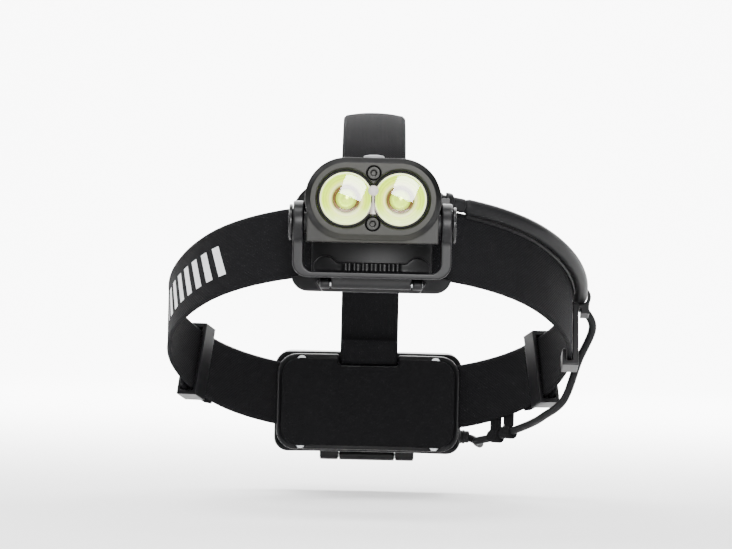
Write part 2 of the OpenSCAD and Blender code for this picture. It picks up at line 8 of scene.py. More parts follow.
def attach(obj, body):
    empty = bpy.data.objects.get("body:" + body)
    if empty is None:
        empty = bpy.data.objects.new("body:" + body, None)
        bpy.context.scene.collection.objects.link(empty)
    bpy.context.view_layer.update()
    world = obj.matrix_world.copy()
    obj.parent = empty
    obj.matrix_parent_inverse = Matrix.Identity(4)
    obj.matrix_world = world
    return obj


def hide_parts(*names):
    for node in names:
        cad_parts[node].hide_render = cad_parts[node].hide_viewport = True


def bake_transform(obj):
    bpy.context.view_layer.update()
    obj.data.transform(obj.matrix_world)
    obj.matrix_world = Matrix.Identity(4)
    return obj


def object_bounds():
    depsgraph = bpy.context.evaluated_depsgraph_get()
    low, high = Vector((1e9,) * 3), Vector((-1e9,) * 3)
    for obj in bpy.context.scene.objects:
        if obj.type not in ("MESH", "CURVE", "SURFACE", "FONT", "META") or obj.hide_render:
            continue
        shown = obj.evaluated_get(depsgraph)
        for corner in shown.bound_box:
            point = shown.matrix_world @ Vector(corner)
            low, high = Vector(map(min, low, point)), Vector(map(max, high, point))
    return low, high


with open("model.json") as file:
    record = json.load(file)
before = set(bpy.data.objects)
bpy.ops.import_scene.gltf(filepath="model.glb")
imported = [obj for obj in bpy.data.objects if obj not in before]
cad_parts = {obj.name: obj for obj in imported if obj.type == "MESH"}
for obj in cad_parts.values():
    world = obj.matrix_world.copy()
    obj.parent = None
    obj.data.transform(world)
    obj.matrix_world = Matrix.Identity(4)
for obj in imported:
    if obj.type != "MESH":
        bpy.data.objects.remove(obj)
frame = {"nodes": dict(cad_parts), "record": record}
first_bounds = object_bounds()
MM = 0.001

# ---------------------------------------------------------------- sizes, in mm unless said otherwise
# In plan, the band's inner face is an oval of four arcs: front and rear of radius R1, centred CY either
# side of the middle, and sides of radius R2, centred CX across it. The band tilts down to the rear.
TILT = math.radians(19)
R1, CY, CX = 72.0, 24.5, 42.9
R2 = R1 + 49.403
JUNCTION = math.atan2(CX, CY)
FRONT_ARC = R1 * JUNCTION
SIDE_ARC = R2 * (math.pi / 2 - JUNCTION)
LOOP = 4 * (FRONT_ARC + SIDE_ARC)
HALF_W, THICK = 12.5, 1.5
TAIL_ANGLES = (17.15, 29.72)  # degrees on the side arc where a folded tail starts and ends
TAIL_LOW, TAIL_RISE, TAIL_RAMP = 2.28, 1.57, 2.4  # its height over the inner face, and the ramps at its ends

STRAP_HALF_W, STRAP_THICK = 12, 1.3
BAR_FRONT, BAR_REAR = (-97.66, 52.97), (96.4, -15.2)  # (y, z) of the bars that the top strap folds round
FOLD_R = 1.78
FRONT_CENTRE, TOP_CENTRE, REAR_CENTRE = (-51.7, 14.4), (0, -115.7), (35, 17.8)

LENS_X, LENS_Z = 9.9, 47.9
BOWL_MOUTH_Y, BOWL_FLOOR_Y = -125.7, -118.4
BEZEL_EDGE_Y, BEZEL_RECESS_Y = -127.2, -126.4
STATUS_UP, STATUS_R = 3.1, 1.95

CABLE_Z, CABLE_D = 13.8, 4.55  # the sleeve's centre line: height on the band and distance outward
SLEEVE_START, SLEEVE_END = 26, 3.4  # degrees, on the front arc and on the side arc
SLEEVE_R, LAMP_LEAD_R, BAND_LEAD_R, BATTERY_LEAD_R = 2.9, 2.68, 2.66, 1.6
LEAD_Z = -18.5
TRAY_GLAND = (35, 98.5, -47)


def place(x, y, zc):
    """A point on the tilted band: plan position and height above the band's mid plane."""
    return Vector((x, y, (zc - y * math.sin(TILT)) / math.cos(TILT)))


def oval(s, d):
    """Plan point at arc length s (mm, from the front centre towards +X) and outward offset d."""
    s = s % LOOP
    half = LOOP / 2
    flip = 1
    if s > half:
        s, flip = LOOP - s, -1
    if s < FRONT_ARC:
        a = s / R1
        p = ((R1 + d) * math.sin(a), -CY - (R1 + d) * math.cos(a))
    elif s < FRONT_ARC + 2 * SIDE_ARC:
        a = (s - FRONT_ARC - SIDE_ARC) / R2
        p = (-CX + (R2 + d) * math.cos(a), (R2 + d) * math.sin(a))
    else:
        a = (half - s) / R1
        p = ((R1 + d) * math.sin(a), CY + (R1 + d) * math.cos(a))
    return p[0] * flip, p[1]


def band_point(s, d, zc):
    x, y = oval(s, d)
    return place(x, y, zc)


def side_s(angle):
    """Arc length of the side arc's point at this angle from +X, in degrees, positive to the rear."""
    return FRONT_ARC + SIDE_ARC + math.radians(angle) * R2


# ---------------------------------------------------------------- mesh helpers
def mesh_object(name, verts, faces, mat, uvs=None):
    """A smooth mesh from points in mm, with a UV (in metres along and across) for each point if asked."""
    mesh = bpy.data.meshes.new(name)
    mesh.from_pydata([tuple(v * MM for v in p) for p in verts], [], faces)
    mesh.update()
    if uvs is not None:
        layer = mesh.uv_layers.new(name="run")
        for poly in mesh.polygons:
            for li, vi in zip(poly.loop_indices, poly.vertices):
                layer.data[li].uv = uvs[vi]
    shade_smooth(mesh)
    obj = bpy.data.objects.new(name, mesh)
    bpy.context.scene.collection.objects.link(obj)
    mesh.materials.append(mat)
    return obj


def shade_smooth(mesh):
    for poly in mesh.polygons:
        poly.use_smooth = True


def fix_normals(obj, weld=0.0):
    """Turns every face outward, after joining points closer than weld metres."""
    bm = bmesh.new()
    bm.from_mesh(obj.data)
    if weld:
        bmesh.ops.remove_doubles(bm, verts=bm.verts, dist=weld)
    bmesh.ops.recalc_face_normals(bm, faces=bm.faces)
    bm.to_mesh(obj.data)
    bm.free()


def apply_modifiers(obj):
    deps = bpy.context.evaluated_depsgraph_get()
    mesh = bpy.data.meshes.new_from_object(obj.evaluated_get(deps))
    old = obj.data
    obj.modifiers.clear()
    obj.data = mesh
    bpy.data.meshes.remove(old)
    shade_smooth(obj.data)


def show(obj, body, node=None):
    """Puts a piece on its CAD body, in place of the CAD node that it stands for."""
    if node:
        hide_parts(node)
    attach(obj, body)


def sweep(name, rings, uvs, mat, closed):
    """A skin over rings of points, each ring the same length and closed on itself, with capped ends."""
    n, k = len(rings), len(rings[0])
    verts = [p for ring in rings for p in ring]
    flat = [uv for ring in uvs for uv in ring]
    faces = []
    for i in range(n if closed else n - 1):
        a, b = i * k, ((i + 1) % n) * k
        for j in range(k):
            faces.append((a + j, a + (j + 1) % k, b + (j + 1) % k, b + j))
    if not closed:
        faces.append(tuple(range(k)))
        faces.append(tuple(reversed(range((n - 1) * k, n * k))))
    obj = mesh_object(name, verts, faces, mat, flat)
    fix_normals(obj)
    return obj


def strip_section(half_w, thick, bead=0.14, steps=22):
    """Cross-section of woven webbing: (across, outward) pairs round the outline, with beaded edges."""
    edge_r = 0.7
    top = []
    for i in range(steps + 1):
        w = -half_w + 2 * half_w * i / steps
        edge = half_w - abs(w)
        swell = bead * math.exp(-((edge - 1.0) / edge_r) ** 2)
        round_off = thick / 2 * (1 - math.sqrt(max(0, 1 - max(0, 1 - edge / edge_r) ** 2)))
        top.append((w, thick / 2 + swell - round_off))
    return top + [(w, -h) for w, h in reversed(top[1:-1])]


def tube_mesh(name, points, radius, mat, seg, swell=None):
    """A round cable along points, with no twist; swell(t) scales its radius, t going from 0 to 1 along it."""
    pts = [Vector(p) for p in points]
    tangents = []
    for i in range(len(pts)):
        t = pts[min(i + 1, len(pts) - 1)] - pts[max(i - 1, 0)]
        tangents.append(t.normalized())
    side = tangents[0].cross(Vector((0, 0, 1))).normalized()
    rings, uvs, run = [], [], 0
    for i, (p, t) in enumerate(zip(pts, tangents)):
        side = (side - t * side.dot(t)).normalized()
        up = t.cross(side)
        r = radius * (swell(i / (len(pts) - 1)) if swell else 1)
        if i:
            run += (pts[i] - pts[i - 1]).length
        ring, ring_uv = [], []
        for j in range(seg):
            a = 2 * math.pi * j / seg
            ring.append(p + side * (r * math.cos(a)) + up * (r * math.sin(a)))
            ring_uv.append((run * MM, a * radius * MM))
        rings.append(ring)
        uvs.append(ring_uv)
    return sweep(name, rings, uvs, mat, closed=False)


def spline(points, steps):
    """Catmull-Rom through points, ends repeated."""
    p = [Vector(points[0]) * 2 - Vector(points[1])] + [Vector(q) for q in points]
    p.append(p[-1] * 2 - p[-2])
    out = []
    for i in range(1, len(p) - 2):
        for k in range(steps):
            t = k / steps
            out.append(0.5 * (2 * p[i] + (p[i + 1] - p[i - 1]) * t
                              + (2 * p[i - 1] - 5 * p[i] + 4 * p[i + 1] - p[i + 2]) * t * t
                              + (3 * p[i] - p[i - 1] - 3 * p[i + 1] + p[i + 2]) * t ** 3))
    out.append(p[-2])
    return out


def lathe(name, profile, centre, toward, mat, seg):
    """Turns (radius, height) pairs round the line from centre along toward."""
    w = Vector(toward).normalized()
    u = w.cross(Vector((0, 0, 1)) if abs(w.z) < 0.9 else Vector((1, 0, 0))).normalized()
    v = w.cross(u)
    verts, faces = [], []
    k = len(profile)
    for j in range(seg):
        a = 2 * math.pi * j / seg
        for r, h in profile:
            verts.append(Vector(centre) + w * h + (u * math.cos(a) + v * math.sin(a)) * max(r, 0.001))
    for j in range(seg):
        n = (j + 1) % seg
        for i in range(k - 1):
            faces.append((j * k + i, j * k + i + 1, n * k + i + 1, n * k + i))
    obj = mesh_object(name, verts, faces, mat)
    fix_normals(obj, weld=2e-6)
    return obj


def moulded(node, body, mat, slot, voxel, rounds):
    """A moulded skin over a CAD node: remeshed and relaxed so that its edges are softly rounded."""
    relax_factor = keep_faces = 0.5
    source = frame["nodes"][node]
    obj = bpy.data.objects.new(node + "_skin", source.data.copy())
    bpy.context.scene.collection.objects.link(obj)
    obj.matrix_world = source.matrix_world.copy()
    obj.data.materials.clear()
    remesh = obj.modifiers.new("remesh", "REMESH")
    remesh.mode = "VOXEL"
    remesh.voxel_size = voxel * MM
    relax = obj.modifiers.new("relax", "SMOOTH")
    relax.factor = relax_factor
    relax.iterations = rounds
    thin = obj.modifiers.new("thin", "DECIMATE")
    thin.ratio = keep_faces
    apply_modifiers(obj)
    obj.data.materials.append(mat)
    show(obj, body, node)


# ---------------------------------------------------------------- materials
WEB = (0.0026, 0.0026, 0.0029)
BEZEL_FACE, BEZEL_BEVEL_AND_SHADOW = (0.013, 0.0128, 0.0098), (0.004, 0.004, 0.004)
MARKS = (432.0, 494.0, 8.4, 5.6)  # the bars on the left side: start, end, pitch and half height in mm


class Look:
    """A principled material with small helpers for wiring its nodes."""

    def __init__(self, name, colour, rough, metal=0.0, specular=0.5, sheen=0.0):
        self.mat = bpy.data.materials.new(name)
        self.mat.use_nodes = True
        tree = self.mat.node_tree
        self.nodes, self.links = tree.nodes, tree.links
        self.shader = self.nodes["Principled BSDF"]
        self.shader.inputs["Base Color"].default_value = (*colour, 1)
        self.shader.inputs["Roughness"].default_value = rough
        self.shader.inputs["Metallic"].default_value = metal
        self.shader.inputs["Specular IOR Level"].default_value = specular
        self.shader.inputs["Sheen Weight"].default_value = sheen

    def node(self, kind, **inputs):
        n = self.nodes.new(kind)
        for key, value in inputs.items():
            n.inputs[key].default_value = value
        return n

    def math(self, op, *values):
        n = self.nodes.new("ShaderNodeMath")
        n.operation = op
        for i, v in enumerate(values):
            if isinstance(v, (int, float)):
                n.inputs[i].default_value = v
            else:
                self.links.new(v, n.inputs[i])
        return n.outputs[0]

    def coords(self, kind="Object"):
        return self.nodes.new("ShaderNodeTexCoord").outputs[kind]

    def split(self, vector):
        """The X, Y and Z outputs of a vector."""
        n = self.nodes.new("ShaderNodeSeparateXYZ")
        self.links.new(vector, n.inputs[0])
        return n.outputs

    def noise(self, scale, detail=3.0):
        n = self.node("ShaderNodeTexNoise", Scale=scale, Detail=detail)
        self.links.new(self.coords(), n.inputs["Vector"])
        return n.outputs["Fac"]

    def ramp(self, value, low, high):
        """Runs from low to high as value runs from 0 to 1, clamped."""
        n = self.node("ShaderNodeMapRange", **{"To Min": low, "To Max": high})
        self.links.new(value, n.inputs["Value"])
        return n.outputs[0]

    def step(self, value, low, high):
        """Runs from 0 to 1 as value runs from low to high, clamped."""
        n = self.node("ShaderNodeMapRange", **{"From Min": low, "From Max": high})
        self.links.new(value, n.inputs["Value"])
        return n.outputs[0]

    def bump(self, height, strength, distance):
        n = self.node("ShaderNodeBump", Strength=strength, Distance=distance * MM)
        self.links.new(height, n.inputs["Height"])
        self.links.new(n.outputs["Normal"], self.shader.inputs["Normal"])

    def mix(self, factor, a, b):
        n = self.nodes.new("ShaderNodeMix")
        n.data_type = "RGBA"
        self.links.new(factor, n.inputs["Factor"])
        for socket, v in ((n.inputs["A"], a), (n.inputs["B"], b)):
            if isinstance(v, tuple):
                socket.default_value = (*v, 1)
            else:
                self.links.new(v, socket)
        return n.outputs["Result"]

    def blend_shaders(self, factor, first, second):
        """Makes the surface first where factor is 0 and second where it is 1."""
        n = self.nodes.new("ShaderNodeMixShader")
        for i, value in enumerate((factor, first, second)):
            self.links.new(value, n.inputs[i])
        self.links.new(n.outputs[0], self.nodes["Material Output"].inputs["Surface"])

    def feed(self, socket, value):
        self.links.new(value, self.shader.inputs[socket])

    def painted_glow(self, tint, strength):
        """Colours the surface and a painted glow alike: emission that stands in for light the part only
        reflects.
        """
        self.feed("Base Color", tint)
        self.feed("Emission Color", tint)
        self.shader.inputs["Emission Strength"].default_value = strength
        self.bump(self.noise(500, 2.0), 0.12, 0.05)


def moulded_look(name, colour, rough, grain=900, depth=0.035, specular=0.4):
    """Moulded plastic or rubber: spark-eroded grain, uneven gloss and faint handling wear."""
    spread = 0.12
    k = Look(name, colour, rough, specular=specular)
    fine = k.noise(grain * 2.2, 2.0)
    wide = k.noise(60, 4.0)
    k.feed("Roughness", k.ramp(wide, rough - spread / 2, rough + spread / 2))
    k.bump(fine, 0.5, depth)
    worn = tuple(min(1, c * 1.35 + 0.002) for c in colour)
    k.feed("Base Color", k.mix(k.ramp(wide, 0, 1), colour, worn))
    return k.mat


def anodised_look(name, colour, rough, metal):
    """Anodised metal: fine blasted grain with soft, uneven gloss."""
    k = Look(name, colour, rough, metal=metal)
    k.bump(k.noise(3800, 2.0), 0.35, 0.02)
    wide = k.noise(90, 5.0)
    k.feed("Roughness", k.ramp(wide, rough - 0.05, rough + 0.08))
    return k.mat


def bezel_look():
    """Anodised bezel: an olive front face and chin; every other face is near black, partly the bevel's own
    black and partly a painted dark reflection and painted shadow in the lens seats, with painted shade on the
    chin's recessed sides.
    """
    k = Look("anodised_bezel", BEZEL_FACE, 0.36, metal=0.1, specular=0.22)
    k.bump(k.noise(3800, 2.0), 0.35, 0.02)
    k.feed("Roughness", k.ramp(k.noise(90, 5.0), 0.3, 0.44))
    x, y, z = k.split(k.coords())
    # Faces that do not look straight forward take the near-black: the bevel's own black plus a painted dark
    # reflection on it and painted shadow in the lens seats.
    front = k.step(k.math("MULTIPLY", k.split(k.coords("Normal"))[1], -1.0), 0.93, 0.985)
    chin = k.step(z, (LENS_Z - 10.5) * MM, (LENS_Z - 13.0) * MM)
    # Painted shade: faces set back behind the front face at its outer corners, the chin's sides, are darkened
    # most of the way to the near-black.
    recess = k.step(y, BEZEL_EDGE_Y * MM, BEZEL_RECESS_Y * MM)
    corner = k.step(k.math("ABSOLUTE", x), 14.5 * MM, 19.5 * MM)
    shade = k.math("SUBTRACT", 1.0, k.math("MULTIPLY", k.math("MULTIPLY", recess, corner), 0.65))
    olive = k.math("MULTIPLY", k.math("MAXIMUM", front, chin), shade)
    k.feed("Base Color", k.mix(olive, BEZEL_BEVEL_AND_SHADOW, BEZEL_FACE))
    return k.mat


def steel_look(name, colour):
    """Turned steel, with an uneven polish."""
    k = Look(name, colour, 0.3, metal=1.0)
    k.feed("Roughness", k.ramp(k.noise(700, 4.0), 0.22, 0.42))
    k.bump(k.noise(2600, 2.0), 0.2, 0.01)
    return k.mat


def webbing_look(name, marks=None):
    """Woven elastic: raised warp cords, fine crossing picks and fuzz, with painted light on the raised cords
    and painted shade in the weave's hollows.

    marks adds a printed row of slanted bars: where it starts and ends along the band, the distance
    from bar to bar and half its height.
    """
    cord, pick_pitch = 1.05 * MM, 1.5 * MM
    rough, ink, ink_rough = 0.86, (0.78, 0.79, 0.8), 0.6
    lean, bar_share = 0.45, 0.52
    k = Look(name, WEB, rough, specular=0.05)
    uv = k.nodes.new("ShaderNodeUVMap")
    uv.uv_map = "run"
    u, v, _ = k.split(uv.outputs[0])
    warp = k.math("SINE", k.math("MULTIPLY", v, 2 * math.pi / cord))
    shift = k.math("MULTIPLY", k.math("FLOOR", k.math("DIVIDE", v, cord / 2)), math.pi)
    pick = k.math("SINE", k.math("ADD", k.math("MULTIPLY", u, 2 * math.pi / pick_pitch), shift))
    cords = k.math("MULTIPLY", k.math("ABSOLUTE", warp), 0.6)
    weave = k.math("ADD", cords, k.math("MULTIPLY", pick, 0.5))
    fuzz = k.noise(2600, 3.0)
    height = k.math("ADD", weave, k.math("MULTIPLY", fuzz, 0.7))
    k.bump(height, 0.75, 0.16)
    # Painted light and shade: the colour follows the weave's height, fuzz included, lighter where it stands
    # high and darker in its hollows.
    light = tuple(c * 3.2 + 0.0015 for c in WEB)
    shade = k.mix(k.ramp(height, 0.05, 0.75), WEB, light)
    if marks:
        start, end, pitch, half = (m * MM for m in marks)
        slant = k.math("ADD", u, k.math("MULTIPLY", v, lean))
        bar = k.math("LESS_THAN", k.math("FRACT", k.math("DIVIDE", slant, pitch)), bar_share)
        after, before = k.math("GREATER_THAN", slant, start), k.math("LESS_THAN", slant, end)
        outer = k.nodes.new("ShaderNodeAttribute")
        outer.attribute_name = "outer"
        band = k.math("MULTIPLY", k.math("LESS_THAN", k.math("ABSOLUTE", v), half), outer.outputs["Fac"])
        row = k.math("MULTIPLY", bar, k.math("MULTIPLY", after, before))
        mask = k.math("MULTIPLY", row, band)
        worn = k.math("MULTIPLY", mask, k.ramp(fuzz, 0.75, 1.0))
        shade = k.mix(worn, shade, ink)
        k.feed("Roughness", k.ramp(mask, rough, ink_rough))
    k.feed("Base Color", shade)
    return k.mat


def foam_look():
    """Knitted cloth over foam, with small cells."""
    k = Look("pad_knit", (0.005, 0.005, 0.0055), 0.95, specular=0.08, sheen=0.01)
    cell = k.node("ShaderNodeTexVoronoi", Scale=900.0)
    k.links.new(k.coords(), cell.inputs["Vector"])
    k.bump(cell.outputs["Distance"], 0.7, 0.25)
    return k.mat


def reflector_look(name, colour, rough, painted_glow):
    """A small inner face of the lens, tinted by the phosphor behind it and made bright by a painted glow that
    stands in for the light it gathers.
    """
    k = Look(name, colour, rough, metal=0.45)
    k.painted_glow(k.mix(k.ramp(k.noise(240, 4.0), 0.2, 0.8), colour, tuple(c * 0.72 for c in colour)), painted_glow)
    return k.mat


def bowl_look():
    """The light-gathering bowl, coloured by a painted glow in zones: dim floor, pale round the core, lime
    further out, pale at its mouth.
    """
    floor, round_core, lime = (0.22, 0.26, 0.05, 1), (0.84, 0.86, 0.36, 1), (0.55, 0.66, 0.045, 1)
    deep_lime, mouth = (0.42, 0.57, 0.012, 1), (0.74, 0.86, 0.2, 1)
    k = Look("lens_bowl", (0.6, 0.75, 0.1), 0.24, metal=0.3)
    _, y, z = k.split(k.coords())
    zones = k.nodes.new("ShaderNodeValToRGB")
    k.links.new(k.step(y, BOWL_FLOOR_Y * MM, BOWL_MOUTH_Y * MM), zones.inputs[0])
    stops = zones.color_ramp.elements
    stops[0].position, stops[0].color = 0.0, floor
    stops[1].position, stops[1].color = 1.0, mouth
    for at, colour in ((0.14, round_core), (0.36, lime), (0.8, deep_lime)):
        stops.new(at).color = colour
    # Painted highlight: near white and streaked by noise, laid over the bowl's lower part.
    low = k.step(z, (LENS_Z - 3.5) * MM, (LENS_Z - 9.5) * MM)
    painted_highlight = k.math("MULTIPLY", low, k.ramp(k.noise(420, 4.0), 0.1, 1.0))
    k.painted_glow(k.mix(painted_highlight, zones.outputs[0], (0.95, 0.98, 0.8)), 2.1)
    return k.mat


def clear_look():
    """Thin clear acrylic: see-through face on, glossy at glancing angles."""
    k = Look("clear_face", (1, 1, 1), 0.03)
    k.nodes.remove(k.shader)
    glossy = k.node("ShaderNodeBsdfGlossy", Roughness=0.035)
    through = k.node("ShaderNodeBsdfTransparent", Color=(0.98, 0.99, 0.93, 1))
    facing = k.node("ShaderNodeFresnel", IOR=1.9)
    k.blend_shaders(facing.outputs[0], through.outputs[0], glossy.outputs[0])
    return k.mat


def paper_look():
    """Matt pale paper, see-through from its back, so that the sweep never hides the object."""
    k = Look("floor_paper", (0.9, 0.9, 0.9), 0.9)
    k.bump(k.noise(40, 3.0), 0.05, 0.2)
    side = k.nodes.new("ShaderNodeNewGeometry").outputs["Backfacing"]
    through = k.nodes.new("ShaderNodeBsdfTransparent")
    k.blend_shaders(side, k.shader.outputs[0], through.outputs[0])
    return k.mat


webbing = webbing_look("webbing_weave", MARKS)
plain_webbing = webbing_look("strap_weave")
plastic = moulded_look("moulded_nylon", (0.0035, 0.0035, 0.004), 0.34, specular=0.2)
smooth_plastic = moulded_look("pivot_nylon", (0.004, 0.004, 0.0045), 0.26, depth=0.015, specular=0.3)
jacket = moulded_look("cable_rubber", (0.0055, 0.0055, 0.006), 0.52, grain=600, depth=0.03, specular=0.1)
rubber = moulded_look("black_rubber", (0.003, 0.003, 0.0033), 0.6, specular=0.15)
button_rubber = moulded_look("button_rubber", (0.2, 0.2, 0.205), 0.5, depth=0.02)
body_metal = anodised_look("anodised_body", (0.013, 0.013, 0.0128), 0.33, 0.4)
bezel_metal = bezel_look()
steel = steel_look("bright_steel", (0.42, 0.43, 0.44))
black_steel = steel_look("black_steel", (0.02, 0.02, 0.019))
foam = foam_look()
bowl = bowl_look()
# Painted glow on the lens rim (a near-white painted highlight), the core ring, the dome and the phosphor; the
# lamp is not lit.
rim_look = reflector_look("lens_rim", (0.88, 0.93, 0.55), 0.2, 1.6)
gold_look = reflector_look("lens_core", (0.13, 0.05, 0.012), 0.22, 0.12)
dome_look = reflector_look("lens_dome", (0.6, 0.78, 0.07), 0.2, 1.7)
phosphor = reflector_look("phosphor", (0.93, 0.78, 0.16), 0.5, 0.3)
clear = clear_look()
milky = moulded_look("milky_lens", (0.36, 0.33, 0.31), 0.3, depth=0.01)
saddle_look = moulded_look("clear_saddle", (0.24, 0.215, 0.19), 0.22, depth=0.01)


# ---------------------------------------------------------------- webbing
def ease(t):
    """Rises smoothly from 0 to 1 as t goes from 0 to 1, and stays there."""
    return 0.5 - 0.5 * math.cos(math.pi * min(1, max(0, t)))


def band_strip(name, s_list, lift, mat, closed):
    """Webbing along the band at these arc lengths, with its middle lift(s) off the band's inner face."""
    ripple, flat_half = 0.06, 11
    section = strip_section(HALF_W, THICK)
    rings, uvs = [], []
    for s in s_list:
        d = lift(s)
        sag = ripple * (0.10 * math.sin(s * 0.11) + 0.07 * math.sin(s * 0.23 + 1.3))
        rings.append([band_point(s, d + h + (sag if abs(w) < flat_half else 0), w) for w, h in section])
        uvs.append([(s * MM, w * MM) for w, h in section])
    return sweep(name, rings, uvs, mat, closed)


def headband():
    """The band all the way round, and the tail folded over it on each side."""
    count, tail_count = 300, 28
    runs = [LOOP * i / count for i in range(count)]
    band = band_strip("headband_weave", runs, lambda s: THICK / 2, webbing, True)
    outer = band.data.attributes.new("outer", "FLOAT", "POINT")
    outward = [1.0 if h > 0 else 0.0 for _, h in strip_section(HALF_W, THICK)]
    outer.data.foreach_set("value", outward * count)
    show(band, "headgear", "headband")
    lo, hi = (side_s(angle) for angle in TAIL_ANGLES)

    def lift(s):
        s = min(s, LOOP - s)
        return TAIL_LOW + TAIL_RISE * ease(min(s - lo, hi - s) / TAIL_RAMP)

    right = [lo + (hi - lo) * i / tail_count for i in range(tail_count + 1)]
    for side, runs in (("right", right), ("left", [LOOP - s for s in right])):
        fold = band_strip("tail_" + side, runs, lift, plain_webbing, False)
        show(fold, "headgear", "headband")
        for end, shift in ((lo, 1.2), (hi, -1.2)):
            at = end + shift
            seam("seam_%s_%d" % (side, round(end)), at if side == "right" else LOOP - at)


def seam(name, s, lift=3.1, count=17):
    """A row of small thread stitches across the webbing."""
    reach, half_stitch, sides = 11, 0.42, 6
    ends = ((0, 0.06), (0.25, 0.17), (0.75, 0.17), (1, 0.06))
    verts, faces = [], []
    for n in range(count):
        zc = -reach + 2 * reach * n / (count - 1)
        a, b = band_point(s, lift, zc - half_stitch), band_point(s, lift, zc + half_stitch)
        out = Vector((a.x, a.y, 0)).normalized()
        wide = (b - a).normalized().cross(out)
        base = len(verts)
        for t, r in ends:
            c = a.lerp(b, t)
            for j in range(sides):
                q = 2 * math.pi * j / sides
                verts.append(c + wide * (r * math.cos(q)) + out * (r * math.sin(q)))
        for i in range(len(ends) - 1):
            row = base + i * sides
            for j in range(sides):
                m = (j + 1) % sides
                faces.append((row + j, row + m, row + sides + m, row + sides + j))
        last = base + (len(ends) - 1) * sides
        faces.append(tuple(range(base, base + sides)))
        faces.append(tuple(range(last, last + sides)))
    obj = mesh_object(name, verts, faces, plain_webbing, [(0, 0)] * len(verts))
    fix_normals(obj)
    show(obj, "headgear")


def arc_yz(centre, r, a0, a1, steps):
    """Points of an arc in the YZ plane, the angles in degrees from +Z towards +Y."""
    turns = [math.radians(a0 + (a1 - a0) * i / steps) for i in range(steps + 1)]
    return [(centre[0] + r * math.sin(a), centre[1] + r * math.cos(a)) for a in turns]


def top_path():
    """Centre line of the top strap in the YZ plane, from its front fold to its rear fold."""
    path = arc_yz(FRONT_CENTRE, 58.2, -41.4, -49, 8)
    for i in range(11):
        a = math.radians(40 + 180 * i / 10)
        path.append((BAR_FRONT[0] + FOLD_R * math.cos(a), BAR_FRONT[1] - FOLD_R * math.sin(a)))
    steps = 14
    for i in range(1, steps + 1):
        f = i / steps
        a = math.radians(-49 + 13 * f)
        r = 61.8 - 2.45 * ease((f - 0.4) / 0.6)
        path.append((FRONT_CENTRE[0] + r * math.sin(a), FRONT_CENTRE[1] + r * math.cos(a)))
    path += arc_yz(FRONT_CENTRE, 59.35, -35, -21.7, 8)[1:]
    path += arc_yz(TOP_CENTRE, 199.35, -21.6, 14.7, 48)[1:]
    path += arc_yz(REAR_CENTRE, 61.35, 14.8, 90, 40)[1:]
    for i in range(1, 13):
        f = i / 12
        path.append((96.35 + 1.82 * ease((f - 0.5) / 0.5), REAR_CENTRE[1] - 27 * f))
    path.append((98.18, -12.2))
    for i in range(11):
        a = math.radians(180 * i / 10)
        path.append((BAR_REAR[0] + FOLD_R * math.cos(a), BAR_REAR[1] - FOLD_R * math.sin(a)))
    path += [(94.62, -12.2), (94.62, -9.4), (94.66, -7.2)]
    return path


def ribbon(name, path, half_w, droop):
    """Strap webbing along a path in the YZ plane, its edges falling by droop(y) mm."""
    section = strip_section(half_w, STRAP_THICK)
    rings, uvs, run = [], [], 0
    for i, (y, z) in enumerate(path):
        a, b = path[max(i - 1, 0)], path[min(i + 1, len(path) - 1)]
        ty, tz = b[0] - a[0], b[1] - a[1]
        length = math.hypot(ty, tz) or 1
        ny, nz = -tz / length, ty / length
        if i:
            run += math.hypot(y - path[i - 1][0], z - path[i - 1][1])
        ring = []
        for w, h in section:
            fall = droop(y) * (abs(w) / half_w) ** 2.2
            ring.append(Vector((w, y + ny * (h - fall), z + nz * (h - fall))))
        rings.append(ring)
        uvs.append([(run * MM, w * MM) for w, h in section])
    show(sweep(name, rings, uvs, plain_webbing, closed=False), "headgear", "top_strap")


def top_strap():
    """The strap over the crown, and its tail behind the slider."""
    ribbon("top_strap_weave", top_path(), STRAP_HALF_W, lambda y: 1.5 * math.exp(-(y / 52) ** 2))
    tail = []
    for i in range(27):
        f = i / 26
        a = math.radians(49.6 + 20.8 * f)
        r = 62.75 + 1.5 * ease(min(f, 1 - f) / 0.12)
        tail.append((REAR_CENTRE[0] + r * math.sin(a), REAR_CENTRE[1] + r * math.cos(a)))
    ribbon("top_tail", tail, STRAP_HALF_W - 0.1, lambda y: 0)


# ---------------------------------------------------------------- cables
def front_at(angle, d, zc):
    """A point off the front arc, the angle in degrees from the front centre."""
    a = math.radians(angle)
    return place((R1 + d) * math.sin(a), -CY - (R1 + d) * math.cos(a), zc)


def rear_at(angle, d, zc):
    """A point off the rear arc, the angle in degrees from the rear centre."""
    a = math.radians(angle)
    return place((R1 + d) * math.sin(a), CY + (R1 + d) * math.cos(a), zc)


def side_at(angle, d, zc):
    """A point off the right side arc, the angle in degrees from +X, positive to the rear."""
    a = math.radians(angle)
    return place(-CX + (R2 + d) * math.cos(a), (R2 + d) * math.sin(a), zc)


def lead_at(x):
    """A point on the straight lead, which leaves the sleeve along its tangent."""
    start = front_at(SLEEVE_START, CABLE_D, CABLE_Z)
    return place(x, start.y - (start.x - x) * math.tan(math.radians(SLEEVE_START)), CABLE_Z)


